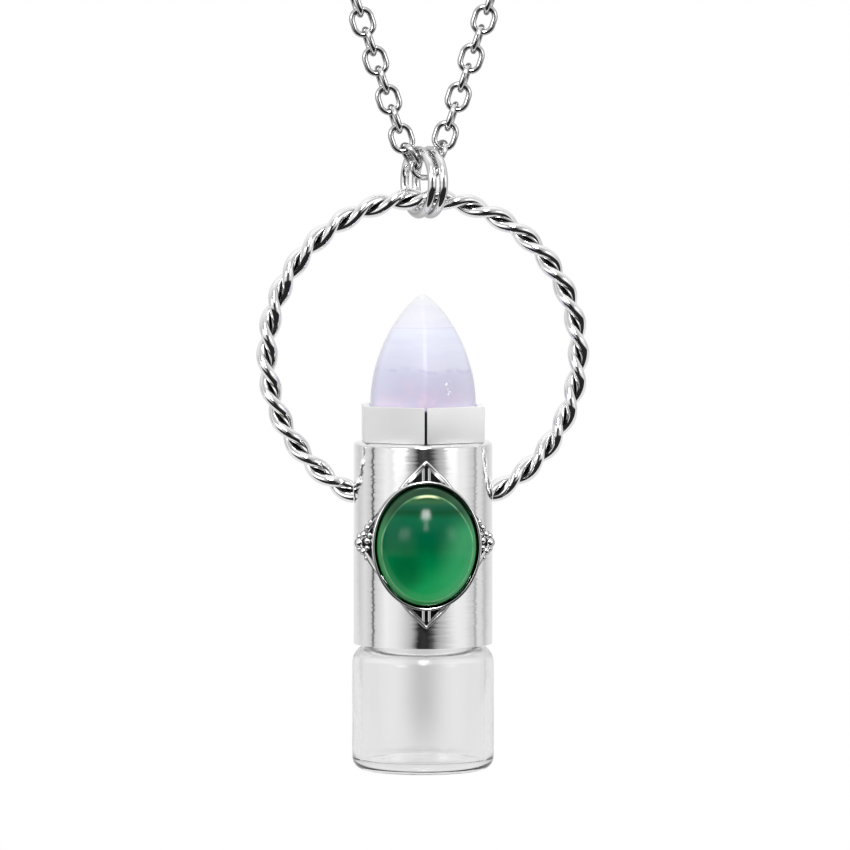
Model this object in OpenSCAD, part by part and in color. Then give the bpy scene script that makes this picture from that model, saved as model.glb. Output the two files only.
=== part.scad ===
// Necklace with a bottle pendant: a glass bottle in a metal sleeve, with a lilac stone point above it
// and a green cabochon on its front, hung from a twisted hoop on a cable chain.
// Millimetres, +Z up, the front faces -Y. The origin is the top of the chain's loop,
// where it lies on the back of the neck.

/* [Chain] */
// Length of the whole chain loop
chain_length = 450; // [430:5:480]
// Half of the angle between the two sides of the hanging chain
leg_angle = 18.5; // [17.5:0.5:19.5]
// Outer length of a link
link_length = 3.06; // [3:0.01:3.15]
// Outer width of a link
link_width = 2.42; // [2.34:0.01:2.46]
// Wire of a link
link_wire = 0.46; // [0.4:0.01:0.48]
// Play between two neighbouring links
link_play = 0.1; // [0.1:0.01:0.12]

/* [Clasp] */
// Outer length of the clasp
clasp_length = 9; // [7:0.5:12]
// Outer width of the clasp
clasp_width = 4.8; // [4.2:0.1:6]
// Wire of the clasp
clasp_wire = 1.2; // [0.9:0.1:1.4]

/* [Jump rings] */
// Outer diameter of a jump ring
ring_outer = 7.3; // [7.2:0.05:7.5]
// Wire of a jump ring
ring_wire = 0.88; // [0.8:0.01:0.9]
// Gap between the two jump rings
ring_gap = 0.18; // [0.14:0.01:0.22]
// Turn of the jump rings from edge-on, near side to the right
ring_turn = 23; // [21:1:25]

/* [Twisted hoop] */
// Radius of the hoop at the middle of its rope
hoop_radius = 15.6; // [14.5:0.1:17]
// Wire of one strand of the rope
strand_wire = 1.1; // [1:0.02:1.14]
// Length of one full turn of the strands
strand_lay = 6.55; // [5.5:0.05:7.5]
// Height of the hoop's centre above the sleeve's top
hoop_rise = 8.7; // [7:0.1:9.5]

/* [Sleeve] */
// Outer diameter of the sleeve
sleeve_diameter = 13.9; // [13.4:0.1:14.2]
// Height of the sleeve
sleeve_height = 20.3; // [19:0.1:22]
// Wall of the sleeve
sleeve_wall = 0.7; // [0.5:0.05:0.9]
// Thickness of the sleeve's closed top
sleeve_top = 0.9; // [0.7:0.05:1.5]
// Radius of the sleeve's rounded upper edge
sleeve_round = 0.45; // [0.2:0.05:0.6]

/* [Stone collar] */
// Width of the collar across its flats
collar_width = 12.06; // [11.6:0.02:12.3]
// Height of the collar
collar_height = 3.6; // [2.5:0.1:5]
// Wall of the collar
collar_wall = 0.7; // [0.5:0.05:0.9]
// Width of the seam at the collar's front corner
collar_seam = 0.28; // [0.1:0.02:0.4]

/* [Stone point] */
// Height of the stone above the collar
stone_rise = 11.2; // [8:0.2:14]
// Share of a sharp six-sided section that the stone keeps, the rest being round
stone_sixness = 0.55; // [0:0.05:0.8]

/* [Setting] */
// Width of the pointed plate, seen from the front
setting_width = 13.5; // [13.3:0.1:13.7]
// Height of the pointed plate
setting_height = 17; // [16:0.1:18]
// Thickness of the plate
plate_thickness = 0.35; // [0.25:0.05:0.5]
// Width of the plate's raised edge
edge_width = 0.36; // [0.3:0.02:0.5]
// Height of the raised edge and of the bars above the plate
edge_height = 0.38; // [0.25:0.02:0.5]
// Width of the bars in the upper and lower points
bar_width = 0.24; // [0.16:0.02:0.28]
// Wall of the oval bezel
bezel_wall = 0.3; // [0.25:0.01:0.36]
// Height of the bezel above the plate at its crest
bezel_height = 1.5; // [1:0.1:1.9]
// Diameter of the largest grain, at the side points
grain_diameter = 0.9; // [0.7:0.05:1]

/* [Cabochon] */
// Width of the cabochon
cabochon_width = 10; // [9.4:0.1:10.2]
// Height of the cabochon
cabochon_height = 12; // [11.4:0.1:12.2]
// Depth of the cabochon from its flat back to its crown
cabochon_depth = 4.4; // [3.5:0.1:5.5]
// Height of the cabochon's straight girdle
cabochon_girdle = 0.9; // [0.6:0.1:1.2]
// Gap between the cabochon and its bezel
cabochon_gap = 0.14; // [0.1:0.02:0.2]

/* [Glass bottle] */
// Outer diameter of the bottle
bottle_diameter = 14.2; // [13.8:0.1:14.8]
// Height of the bottle below the sleeve
bottle_height = 12.7; // [10:0.1:20]
// Wall of the bottle
glass_wall = 0.9; // [0.7:0.05:1.1]
// Thickness of the bottle's floor
glass_floor = 1.1; // [0.8:0.05:2]
// Radius of the bottle's shoulder
shoulder_radius = 2; // [1.7:0.1:2.2]
// Radius of the bottle's lower edge
heel_radius = 1.3; // [1.2:0.1:1.6]
// Height of the neck inside the sleeve
neck_height = 9; // [6:0.5:14]

/* [Fits] */
// Gap between pieces that are soldered, glued or set on each other
seat_gap = 0.05; // [0.04:0.01:0.08]
// Running gap between the hoop and the jump rings
hang_gap = 0.05; // [0.04:0.01:0.1]
// Gap between the lowest link and the jump rings that hang on it
link_gap = 0.12; // [0.1:0.01:0.14]
// Gap between the bottle's neck and the sleeve's bore
neck_gap = 0.3; // [0.2:0.02:0.4]

/* [Hidden] */
$fn = 64;
silver = "silver";
steel = "gainsboro";

// Three links turn through the jump rings: their places from the apex of the two legs, with the
// lean of each link, its turn about the upright and its swivel on its own length.
lowest_link = 1;
turn_links = [
    // x, z, lean, turn, swivel
    [-1.2, 4.62, -34, -4, 116],
    [0.25, 3.46, -88, 7, 0],
    [1.52, 4.82, 26, 3, 111]
];
// Places along the legs, from the apex, of the links that the three hang from.
left_start = 6.75;
right_start = 7.02;
// Places of the two jump rings across the chain, shared out about the middle.
rings_middle = 0.11;

// The loop is two straight legs that rise from an apex, and a round arc that joins them.
loop_radius = chain_length / (2 / tan(leg_angle) + PI * (1 + leg_angle / 90));
leg_length = loop_radius / tan(leg_angle);
apex_z = -loop_radius - loop_radius / sin(leg_angle);

// A link's inner reach, its pitch in the loop, and the reach from the clasp's middle to its end link.
link_reach = link_length / 2 - link_wire;
link_pitch = 2 * link_reach - link_play;
clasp_reach = clasp_length / 2 - clasp_wire + link_reach - link_play;
side_end = chain_length / 2 - clasp_reach;

// Each ring hangs on the lowest link, and the hoop hangs in both rings.
ring_radius = (ring_outer - ring_wire) / 2;
ring_inner = ring_radius - ring_wire / 2;
ring_z = apex_z + turn_links[lowest_link][1] + link_width / 2 + link_gap - ring_inner;
ring_step = (ring_wire + ring_gap) / cos(ring_turn);
hoop_top_z = ring_z - ring_inner + strand_wire + hang_gap;
hoop_z = hoop_top_z - hoop_radius;

// The sleeve stands below the hoop's middle, and its sides meet the hoop's ends.
sleeve_radius = sleeve_diameter / 2;
bore_radius = sleeve_radius - sleeve_wall;
sleeve_top_z = hoop_z - hoop_rise;
sleeve_bottom_z = sleeve_top_z - sleeve_height;
collar_z = sleeve_top_z + seat_gap;
stone_half = collar_width / 2 - collar_wall - seat_gap;
setting_z = sleeve_top_z - sleeve_height / 2 + 0.25;
plate_radius = sleeve_radius + seat_gap;
crest_radius = plate_radius + plate_thickness;

// Half a turn of round wire at one end of an oval, and one of the oval's two straight sides.
module wire_bend(turn, length, width, wire) {
    rotate([0, turn, 0])
        translate([0, 0, (length - width) / 2])
            rotate([90, 0, 0])
                rotate_extrude(angle = 180)
                    translate([(width - wire) / 2, 0])
                        circle(d = wire);
}

module wire_side(side, length, width, wire) {
    translate([side * (width - wire) / 2, 0, -(length - width) / 2])
        cylinder(d = wire, h = length - width);
}

// An oval of round wire that stands in the XZ plane with its length along Z.
module wire_oval(length, width, wire) {
    wire_bend(0, length, width, wire);
    wire_bend(180, length, width, wire);
    wire_side(-1, length, width, wire);
    wire_side(1, length, width, wire);
}

// Lean and place of the right side of the loop, at a length from the apex.
function loop_lean(length) =
    length < leg_length ? leg_angle : leg_angle - (length - leg_length) / loop_radius * 180 / PI;
function loop_place(length) =
    length < leg_length
        ? [length * sin(leg_angle), apex_z + length * cos(leg_angle)]
        : loop_radius * [cos(loop_lean(length)), -1 - sin(loop_lean(length))];

// The links of one side run from the turn to the clasp. Their count is odd past the first one,
// so that the first faces the front and the last stands across the clasp.
// Each link is a row of x, z, lean, turn and swivel.
function side_count(start) =
    let (count = ceil((side_end - start) / link_pitch))
    count + 1 - count % 2;
function side_links(side, start) =
    let (count = side_count(start), step = (side_end - start) / count)
    [for (i = [0:count])
        let (length = start + i * step, place = loop_place(length))
        [side * place[0], place[1], side * loop_lean(length), 0, 90 * (i % 2)]];

module links(rows) {
    for (row = rows)
        translate([row[0], 0, row[1]])
            rotate([0, 0, row[3]])
                rotate([0, row[2], 0])
                    rotate([0, 0, row[4]])
                        wire_oval(link_length, link_width, link_wire);
}

// The left half of the chain, with the three links that turn through the jump rings.
module chain_left() {
    turn = [for (row = turn_links) [row[0], apex_z + row[1], row[2], row[3], row[4]]];
    color(steel)
        links(concat(turn, side_links(-1, left_start)));
}

module chain_right() {
    color(steel)
        links(side_links(1, right_start));
}

module clasp() {
    color(steel)
        rotate([0, 90, 0])
            wire_oval(clasp_length, clasp_width, clasp_wire);
}

module jump_ring(side) {
    color(steel)
        translate([rings_middle + side * ring_step / 2, 0, ring_z])
            rotate([0, 0, ring_turn])
                rotate([0, 90, 0])
                    rotate_extrude()
                        translate([ring_radius, 0])
                            circle(d = ring_wire);
}

// The rope: two strands side by side, as one outline that turns on its way round the hoop.
// Eight-sided strands meet in a solder fillet, and the rope's ends are cut flat along the sleeve.
lobe_angles = [-135:45:135];
fillet_share = 0.4;
rope_outline = [
    for (side = [1, -1])
        for (point = concat([for (angle = lobe_angles) [1 + cos(angle), sin(angle)]], [[0, fillet_share]]))
            side * strand_wire / 2 * point
];
rope_end_x = sleeve_radius + seat_gap;
rope_half_angle = 180 - asin(rope_end_x / hoop_radius);
rope_cut_angle = strand_wire / hoop_radius * 180 / PI;
rope_steps = ceil(2 * rope_half_angle / 360 * 2 * PI * hoop_radius / (strand_lay / 16));
rope_angles = [
    for (i = [0:rope_steps])
        (rope_half_angle - rope_cut_angle) * (2 * i / rope_steps - 1)
];

// A point of the rope's outline at an angle round the hoop from its top, the strands turned with it.
// At the top one strand lies in front of the other.
function rope_point(angle, point) =
    let (
        turn = 90 + angle * PI / 180 * hoop_radius / strand_lay * 360,
        out = point[0] * cos(turn) - point[1] * sin(turn),
        across = point[0] * sin(turn) + point[1] * cos(turn)
    )
    [(hoop_radius + out) * sin(angle), across, hoop_z + (hoop_radius + out) * cos(angle)];

// The same point slid along the rope on to the upright plane where the sleeve's side begins.
function rope_end_point(side, point) =
    let (
        angle = side * rope_half_angle,
        start = rope_point(angle, point),
        slide = (side * rope_end_x - start[0]) / cos(angle)
    )
    start + slide * [cos(angle), 0, -sin(angle)];

module twisted_hoop() {
    sides = len(rope_outline);
    points = concat(
        [for (point = rope_outline) rope_end_point(-1, point)],
        [for (angle = rope_angles) for (point = rope_outline) rope_point(angle, point)],
        [for (point = rope_outline) rope_end_point(1, point)],
        [for (side = [-1, 1]) rope_end_point(side, [0, 0])]
    );
    rings = len(rope_angles) + 2;
    left_middle = rings * sides;
    right_middle = left_middle + 1;
    color(silver)
        polyhedron(points, concat(
            [for (j = [0:sides - 1]) [left_middle, j, (j + 1) % sides]],
            [for (i = [0:rings - 2]) for (j = [0:sides - 1])
                [i * sides + j, (i + 1) * sides + j, (i + 1) * sides + (j + 1) % sides]],
            [for (i = [0:rings - 2]) for (j = [0:sides - 1])
                [i * sides + j, (i + 1) * sides + (j + 1) % sides, i * sides + (j + 1) % sides]],
            [for (j = [0:sides - 1]) [right_middle, (rings - 1) * sides + (j + 1) % sides, (rings - 1) * sides + j]]
        ), convexity = 10);
}

// Points of a round corner in an outline.
function corner(middle, radius, from, to, steps) =
    [for (i = [0:steps]) middle + radius * [cos(from + (to - from) * i / steps), sin(from + (to - from) * i / steps)]];

module sleeve() {
    color(silver)
        translate([0, 0, sleeve_top_z])
            rotate_extrude()
                polygon(concat(
                    [[0, -sleeve_top], [bore_radius, -sleeve_top], [bore_radius, -sleeve_height]],
                    [[sleeve_radius, -sleeve_height]],
                    corner([sleeve_radius - sleeve_round, -sleeve_round], sleeve_round, 0, 90, 8),
                    [[0, 0]]
                ));
}

// A six-sided ring that stands with a corner to the front, cut through there by its seam.
module stone_collar() {
    to_corner = 1 / cos(30);
    color(silver)
        translate([0, 0, collar_z])
            difference() {
                linear_extrude(collar_height)
                    rotate(30)
                        circle(collar_width / 2 * to_corner, $fn = 6);
                translate([0, 0, -1])
                    linear_extrude(collar_height + 2)
                        rotate(30)
                            circle((collar_width / 2 - collar_wall) * to_corner, $fn = 6);
                translate([-collar_seam / 2, -collar_width, -1])
                    cube([collar_seam, collar_width, collar_height + 2]);
            }
}

// The stone's half-width at a share of its rise above the collar, and its soft six-sided section.
function stone_width_at(share) = stone_half * pow(1 - share * share, 0.8);
function stone_section(angle) =
    1 + stone_sixness * (1 / cos((angle % 60) - 30) - 1);

module stone_point() {
    sides = 36;
    tiers = 14;
    base = [[stone_half, 0], [stone_half, collar_height - seat_gap]];
    profile = concat(base, [
        for (i = [1:tiers - 1])
            let (share = sin(90 * i / tiers))
            [stone_width_at(share), collar_height - seat_gap + stone_rise * share]
    ]);
    rings = len(profile);
    points = concat(
        [for (ring = profile) for (j = [0:sides - 1])
            let (angle = j * 360 / sides, reach = ring[0] * stone_section(angle))
            [reach * sin(angle), -reach * cos(angle), ring[1]]],
        [[0, 0, 0], [0, 0, collar_height - seat_gap + stone_rise]]
    );
    low = rings * sides;
    high = low + 1;
    color("lavender")
        translate([0, 0, collar_z])
            polyhedron(points, concat(
                [for (j = [0:sides - 1]) [low, j, (j + 1) % sides]],
                [for (i = [0:rings - 2]) for (j = [0:sides - 1])
                    [i * sides + j, (i + 1) * sides + j, (i + 1) * sides + (j + 1) % sides]],
                [for (i = [0:rings - 2]) for (j = [0:sides - 1])
                    [i * sides + j, (i + 1) * sides + (j + 1) % sides, i * sides + (j + 1) % sides]],
                [for (j = [0:sides - 1]) [high, (rings - 1) * sides + (j + 1) % sides, (rings - 1) * sides + j]]
            ), convexity = 4);
}

// The plate's outline: its quarter from the upper point to the side point, as shares of its half
// height and half width.
plate_shares = [
    // across, up
    [0, 1],
    [0.28, 0.785],
    [0.745, 0.32],
    [1, 0]
];
plate_quarter = [for (row = plate_shares) [row[0] * setting_width / 2, row[1] * setting_height / 2]];
plate_outline = concat(
    plate_quarter,
    [for (i = [len(plate_quarter) - 2:-1:0]) [plate_quarter[i][0], -plate_quarter[i][1]]],
    [for (i = [1:len(plate_quarter) - 1]) [-plate_quarter[i][0], -plate_quarter[i][1]]],
    [for (i = [len(plate_quarter) - 2:-1:1]) [-plate_quarter[i][0], plate_quarter[i][1]]]
);
bezel_half = [cabochon_width, cabochon_height] / 2 + [cabochon_gap, cabochon_gap];
bezel_outer = bezel_half + [bezel_wall, bezel_wall];

function oval(half, sides = 60) =
    [for (i = [0:sides - 1]) [half[0] * cos(i * 360 / sides), half[1] * sin(i * 360 / sides)]];

// A flat drawing, seen from the front, as a prism that reaches forward from the sleeve's middle.
module forward(reach) {
    rotate([90, 0, 0])
        linear_extrude(reach)
            children();
}

// A drawing bent on to the sleeve, between two radii.
module bent(inner, outer) {
    intersection() {
        forward(outer + 1)
            children();
        difference() {
            cylinder(r = outer, h = setting_height + 2, center = true);
            cylinder(r = inner, h = setting_height + 4, center = true);
        }
    }
}

// The two upright bars and the two slanting ones in an upper or lower point.
module point_bars(way) {
    bar_place = 0.3;
    bar_top = setting_height / 2 - 0.85;
    bar_foot = bezel_outer[1] - 0.2;
    slant = bar_top - bar_foot;
    for (side = [-1, 1]) {
        polygon([
            [side * (bar_place - bar_width / 2), way * bar_foot],
            [side * (bar_place + bar_width / 2), way * bar_foot],
            [side * (bar_place + bar_width / 2), way * bar_top],
            [side * (bar_place - bar_width / 2), way * bar_top]
        ]);
        polygon([
            [side * bar_place, way * bar_top],
            [side * (bar_place + slant), way * bar_foot],
            [side * (bar_place + slant - bar_width * 1.4), way * bar_foot],
            [side * bar_place, way * (bar_top - bar_width * 1.4)]
        ]);
    }
}

// Grains along each side of the bezel: height from the side point, share of the largest size.
grain_rows = [
    [0, 1],
    [0.75, 0.7],
    [-0.75, 0.7],
    [1.65, 0.55]
];

module grains() {
    for (side = [-1, 1])
        for (row = grain_rows) {
            across = side * (setting_width / 2 - 0.25 - abs(row[0]) * 0.62);
            radius = plate_radius + plate_thickness + 0.1;
            translate([across, -sqrt(radius * radius - across * across), row[0]])
                sphere(d = grain_diameter * row[1]);
        }
}

module setting() {
    color(silver)
        translate([0, 0, setting_z]) {
            bent(plate_radius, crest_radius)
                polygon(plate_outline);
            bent(plate_radius, crest_radius + edge_height)
                difference() {
                    polygon(plate_outline);
                    offset(delta = -edge_width)
                        polygon(plate_outline);
                }
            bent(plate_radius, crest_radius + edge_height)
                for (way = [-1, 1])
                    point_bars(way);
            difference() {
                forward(crest_radius + bezel_height)
                    difference() {
                        polygon(oval(bezel_outer));
                        polygon(oval(bezel_half));
                    }
                cylinder(r = plate_radius, h = setting_height, center = true);
            }
            grains();
        }
}

module cabochon() {
    sides = 40;
    tiers = 9;
    dome = cabochon_depth - cabochon_girdle;
    half = [cabochon_width, cabochon_height] / 2;
    profile = concat([[1, 0]], [
        for (i = [0:tiers - 1]) [cos(90 * i / tiers), cabochon_girdle + dome * sin(90 * i / tiers)]
    ]);
    rings = len(profile);
    points = concat(
        [for (ring = profile) for (j = [0:sides - 1])
            let (angle = j * 360 / sides)
            [ring[0] * half[0] * cos(angle), -ring[1], ring[0] * half[1] * sin(angle)]],
        [[0, 0, 0], [0, -cabochon_depth, 0]]
    );
    back = rings * sides;
    crown = back + 1;
    color("seagreen")
        translate([0, -crest_radius - seat_gap, setting_z])
            polyhedron(points, concat(
                [for (j = [0:sides - 1]) [back, (j + 1) % sides, j]],
                [for (i = [0:rings - 2]) for (j = [0:sides - 1])
                    [i * sides + j, (i + 1) * sides + (j + 1) % sides, (i + 1) * sides + j]],
                [for (i = [0:rings - 2]) for (j = [0:sides - 1])
                    [i * sides + j, i * sides + (j + 1) % sides, (i + 1) * sides + (j + 1) % sides]],
                [for (j = [0:sides - 1]) [crown, (rings - 1) * sides + j, (rings - 1) * sides + (j + 1) % sides]]
            ), convexity = 4);
}

// The bottle's outline stands with its shoulder's top at the sleeve's lower edge.
module glass_bottle() {
    radius = bottle_diameter / 2;
    neck_radius = bore_radius - neck_gap;
    neck_inner = neck_radius - glass_wall;
    shoulder = [radius - shoulder_radius, -shoulder_radius];
    heel = [radius - heel_radius, heel_radius - bottle_height];
    inner_heel = [heel[0], heel_radius - bottle_height + glass_floor - glass_wall];
    inner_round = heel_radius - glass_wall;
    rise_angle = acos((neck_radius - shoulder[0]) / shoulder_radius);
    inner_angle = acos(max(0, (neck_inner - shoulder[0]) / (shoulder_radius - glass_wall)));
    color("azure", 0.5)
        translate([0, 0, sleeve_bottom_z])
            rotate_extrude()
                polygon(concat(
                    [[0, -bottle_height]],
                    corner(heel, heel_radius, -90, 0, 10),
                    corner(shoulder, shoulder_radius, 0, rise_angle, 10),
                    [[neck_radius, neck_height], [neck_inner, neck_height]],
                    corner(shoulder, shoulder_radius - glass_wall, inner_angle, 0, 8),
                    corner(inner_heel, inner_round, 0, -90, 6),
                    [[0, glass_floor - bottle_height]]
                ));
}

chain_left();
chain_right();
clasp();
jump_ring(-1);  // jump_ring_1
jump_ring(1);  // jump_ring_2
twisted_hoop();
sleeve();
stone_collar();
stone_point();
setting();
cabochon();
glass_bottle();
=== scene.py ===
# %% [markdown]
# # A bottle pendant on its chain
# The solids of the necklace come from its CAD model and stay where they are. This lesson gives them
# their finishes, and models again the pieces whose curves have to be finer than the solids'.

# %% The frame and its measures
import math

import bmesh
import bpy
from mathutils import Matrix, Vector


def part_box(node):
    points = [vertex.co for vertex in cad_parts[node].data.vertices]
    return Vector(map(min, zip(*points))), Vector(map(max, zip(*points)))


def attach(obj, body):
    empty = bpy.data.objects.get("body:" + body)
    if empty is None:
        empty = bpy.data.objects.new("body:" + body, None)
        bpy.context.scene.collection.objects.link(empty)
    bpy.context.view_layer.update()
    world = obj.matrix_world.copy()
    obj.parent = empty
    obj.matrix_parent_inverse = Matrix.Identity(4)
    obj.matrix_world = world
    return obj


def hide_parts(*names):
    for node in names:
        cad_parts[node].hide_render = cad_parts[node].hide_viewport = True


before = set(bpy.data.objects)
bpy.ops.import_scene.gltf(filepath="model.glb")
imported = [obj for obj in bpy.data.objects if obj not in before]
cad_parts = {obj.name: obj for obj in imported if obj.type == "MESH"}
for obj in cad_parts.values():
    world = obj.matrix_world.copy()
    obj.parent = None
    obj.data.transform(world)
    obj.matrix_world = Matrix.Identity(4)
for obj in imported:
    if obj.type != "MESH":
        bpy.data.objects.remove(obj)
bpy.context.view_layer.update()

MM = 0.001
HOOP_RADIUS = 15.6 * MM
HOOP_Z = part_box("sleeve")[1].z + 8.7 * MM
print("the hoop's middle lies at", round(HOOP_Z / MM, 2), "mm")

# %% [markdown]
# The photo was taken from a little above and a little to the left, through a long lens, so the
# camera comes first: everything else is judged through it.

# %% Camera
SENSOR_WIDTH = 36
CAMERA_DISTANCE = 700 * MM
CAMERA_AZIMUTH = math.radians(-2.5)
CAMERA_RISE = 42 * MM
FIELD_WIDTH = 85 * MM
FAR_CLIP = 20
aim = Vector((0.2 * MM, 0, HOOP_Z - 7.1 * MM))
camera_data = bpy.data.cameras.new("camera")
camera_data.sensor_width = SENSOR_WIDTH
camera_data.lens = SENSOR_WIDTH * CAMERA_DISTANCE / FIELD_WIDTH
camera = bpy.data.objects.new("camera", camera_data)
bpy.context.scene.collection.objects.link(camera)
camera.location = aim + Vector((
    CAMERA_DISTANCE * math.sin(CAMERA_AZIMUTH),
    -CAMERA_DISTANCE * math.cos(CAMERA_AZIMUTH),
    CAMERA_RISE,
))
camera.rotation_euler = (aim - camera.location).to_track_quat("-Z", "Y").to_euler()
camera_data.clip_end = FAR_CLIP
bpy.context.scene.camera = camera
bpy.context.scene.view_settings.view_transform = "Standard"
print("lens", round(camera_data.lens), "mm")

# %% [markdown]
# Finishes are worked out with arithmetic on values that change over the surface. A small class
# wraps the output of a node, so that `1 - mask * 0.5` adds the Math nodes that it stands for.

# %% Shader maths
class Signal:
    """The output of a node; arithmetic on it adds Math nodes."""

    def __init__(self, paint, socket):
        self.paint = paint
        self.socket = socket

    def maths(self, operation, *values):
        return self.paint.add("ShaderNodeMath", {"operation": operation}, dict(enumerate(values)))

    def __add__(self, other):
        return self.maths("ADD", self, other)

    def __sub__(self, other):
        return self.maths("SUBTRACT", self, other)

    def __rsub__(self, other):
        return self.maths("SUBTRACT", other, self)

    def __mul__(self, other):
        return self.maths("MULTIPLY", self, other)

    def __truediv__(self, other):
        return self.maths("DIVIDE", self, other)

    __radd__ = __add__
    __rmul__ = __mul__

    def size(self):
        return self.maths("ABSOLUTE", self)

    def root(self):
        return self.maths("SQRT", self)


class Paint:
    """Adds nodes to one tree, of a material or of the world."""

    def __init__(self, tree):
        self.tree = tree
        tree.nodes.clear()

    def add(self, kind, settings=None, sockets=None, output=0):
        node = self.tree.nodes.new(kind)
        for name, value in (settings or {}).items():
            if name == "stops":
                self.set_stops(node.color_ramp, value)
            else:
                setattr(node, name, value)
        for name, value in (sockets or {}).items():
            if isinstance(value, Signal):
                self.tree.links.new(value.socket, node.inputs[name])
            else:
                node.inputs[name].default_value = value
        return Signal(self, node.outputs[output]) if node.outputs else None

    def colour(self, value):
        """A colour from a signal, from red, green and blue, or from one brightness."""
        if isinstance(value, Signal):
            return value
        return (*value, 1) if isinstance(value, tuple) else grey(value)

    def set_stops(self, ramp, stops):
        while len(ramp.elements) < len(stops):
            ramp.elements.new(1.0)
        for element, (place, value) in zip(ramp.elements, stops):
            element.position = place
            element.color = self.colour(value)

    def ramp(self, value, stops, interpolation="LINEAR"):
        signal = self.add("ShaderNodeValToRGB", {"stops": stops}, {0: value})
        signal.socket.node.color_ramp.interpolation = interpolation
        return signal

    def rise(self, value, low, high, start=0.0, end=1.0):
        """Goes smoothly from start to end while the value goes from low to high."""
        settings = {"interpolation_type": "SMOOTHSTEP"}
        return self.add("ShaderNodeMapRange", settings, {0: value, 1: low, 2: high, 3: start, 4: end})

    def mix(self, amount, first, second, blend="MIX"):
        settings = {"data_type": "RGBA", "blend_type": blend}
        sockets = {0: amount, 6: self.colour(first), 7: self.colour(second)}
        return self.add("ShaderNodeMix", settings, sockets, output=2)

    def place(self, centre=(0, 0, 0), stretch=(1, 1, 1)):
        """Object coordinates in millimetres about a centre, stretched along the axes."""
        coordinates = self.add("ShaderNodeTexCoord", output="Object")
        scale = tuple(MM / value for value in stretch)
        sockets = {"Vector": coordinates, "Location": centre, "Scale": scale}
        return self.add("ShaderNodeMapping", {"vector_type": "TEXTURE"}, sockets)

    def parts(self, vector, axes="XYZ"):
        return [self.add("ShaderNodeSeparateXYZ", None, {0: vector}, output=axis) for axis in axes]

    def noise(self, vector, scale, detail=2.0, roughness=0.5):
        sockets = {"Vector": vector, "Scale": scale, "Detail": detail, "Roughness": roughness}
        return self.add("ShaderNodeTexNoise", None, sockets)

    def bump(self, height, distance, normal=None):
        sockets = {"Height": height, "Distance": distance, "Strength": 1.0}
        if normal:
            sockets["Normal"] = self.vector("NORMALIZE", normal)
        return self.add("ShaderNodeBump", None, sockets)

    def vector(self, operation, first, second=None, scale=None, output=0):
        sockets = {0: first}
        if second is not None:
            sockets[1] = second
        if scale is not None:
            sockets["Scale"] = scale
        return self.add("ShaderNodeVectorMath", {"operation": operation}, sockets, output)

    def reach_from_axis(self):
        """Distance from the pendant's upright axis in millimetres."""
        x, y = self.parts(self.place(), "XY")
        return (x * x + y * y).root()

    def finish(self, sockets):
        shader = self.add("ShaderNodeBsdfPrincipled", None, sockets)
        self.add("ShaderNodeOutputMaterial", None, {0: shader})


def new_material(name):
    material = bpy.data.materials.new(name)
    material.use_nodes = True
    return material, Paint(material.node_tree)


def grey(value):
    return (value, value, value, 1)


print("shader maths is ready")

# %% [markdown]
# Polished metal only shows what stands round it. A studio for it is a pale surround with a dark
# gap behind the camera, a dark lower front, softboxes to both sides, a large one overhead and small
# lamps above the lens. The surround is drawn as brightness against the compass direction and the
# height in degrees, so it needs no cards that would get in the way.

# %% The surround
world = bpy.data.worlds.new("studio")
bpy.context.scene.world = world
world.use_nodes = True
sky = Paint(world.node_tree)
heading = sky.add("ShaderNodeTexCoord", output=0)
east, north, up = sky.parts(heading)
compass = sky.add("ShaderNodeMath", {"operation": "ARCTAN2"}, {0: east, 1: north * -1})
degrees = compass * (180 / math.pi)
height = sky.add("ShaderNodeMath", {"operation": "ARCSINE"}, {0: up}) * (180 / math.pi)
# Brightness at the horizon against degrees from the front, positive towards +X.
HORIZON = [
    (-180, 0.92), (-160, 0.84), (-134, 0.62), (-115, 0.78), (-104, 0.66), (-97.5, 0.56),
    (-96, 0.06), (-93, 0.06), (-91.5, 0.58), (-86, 0.70), (-66, 0.95), (-50, 0.86),
    (-22, 0.50), (-15, 0.22), (-10, 0.012), (6, 0.012), (14, 0.10), (19, 0.30),
    (25, 0.46), (56, 0.92), (70, 0.90), (86, 0.66), (91.5, 0.60), (93, 0.36),
    (95.5, 0.36), (97, 0.60), (101, 0.76), (111, 0.74), (122, 0.50), (132, 0.66),
    (160, 0.84), (180, 0.92),
]
# Heights between which one part of the surround passes into the next.
LOW_EDGE = (-17, -9)
HIGH_EDGE = (9, 24)
OVERHEAD_EDGE = (38, 74)
OVERHEAD = 1.05
# Lamps: middle and half width round the compass, lowest and highest height, softness, brightness.
LAMPS = [
    (-1, 4, 16, 34, 3, 7.0),
    (-1, 9, 32, 46, 5, 32.0),
    (-40, 11, 6, 18, 6, 4.0),
    (46, 9, 5, 18, 6, 2.4),
]
around = (degrees + 180) / 360
horizon = sky.ramp(around, [((place + 180) / 360, value) for place, value in HORIZON])
# Below the horizon the room in front of the bench is dark, and the sheet behind is pale.
BELOW = [
    (-180, 0.80), (-140, 0.70), (-118, 0.10), (-90, 0.02),
    (100, 0.02), (128, 0.10), (146, 0.70), (180, 0.80),
]
below = sky.ramp(around, [((place + 180) / 360, value) for place, value in BELOW])
# Above it the front is dim up to the large softbox overhead.
ABOVE = [
    (-180, 0.90), (-110, 0.85), (-75, 0.75), (-45, 0.52),
    (45, 0.52), (75, 0.75), (110, 0.85), (180, 0.90),
]
above = sky.ramp(around, [((place + 180) / 360, value) for place, value in ABOVE])
lower_half = sky.mix(sky.rise(height, *LOW_EDGE), below, horizon)
both_halves = sky.mix(sky.rise(height, *HIGH_EDGE), lower_half, above)
surround = sky.mix(sky.rise(height, *OVERHEAD_EDGE), both_halves, OVERHEAD)


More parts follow.
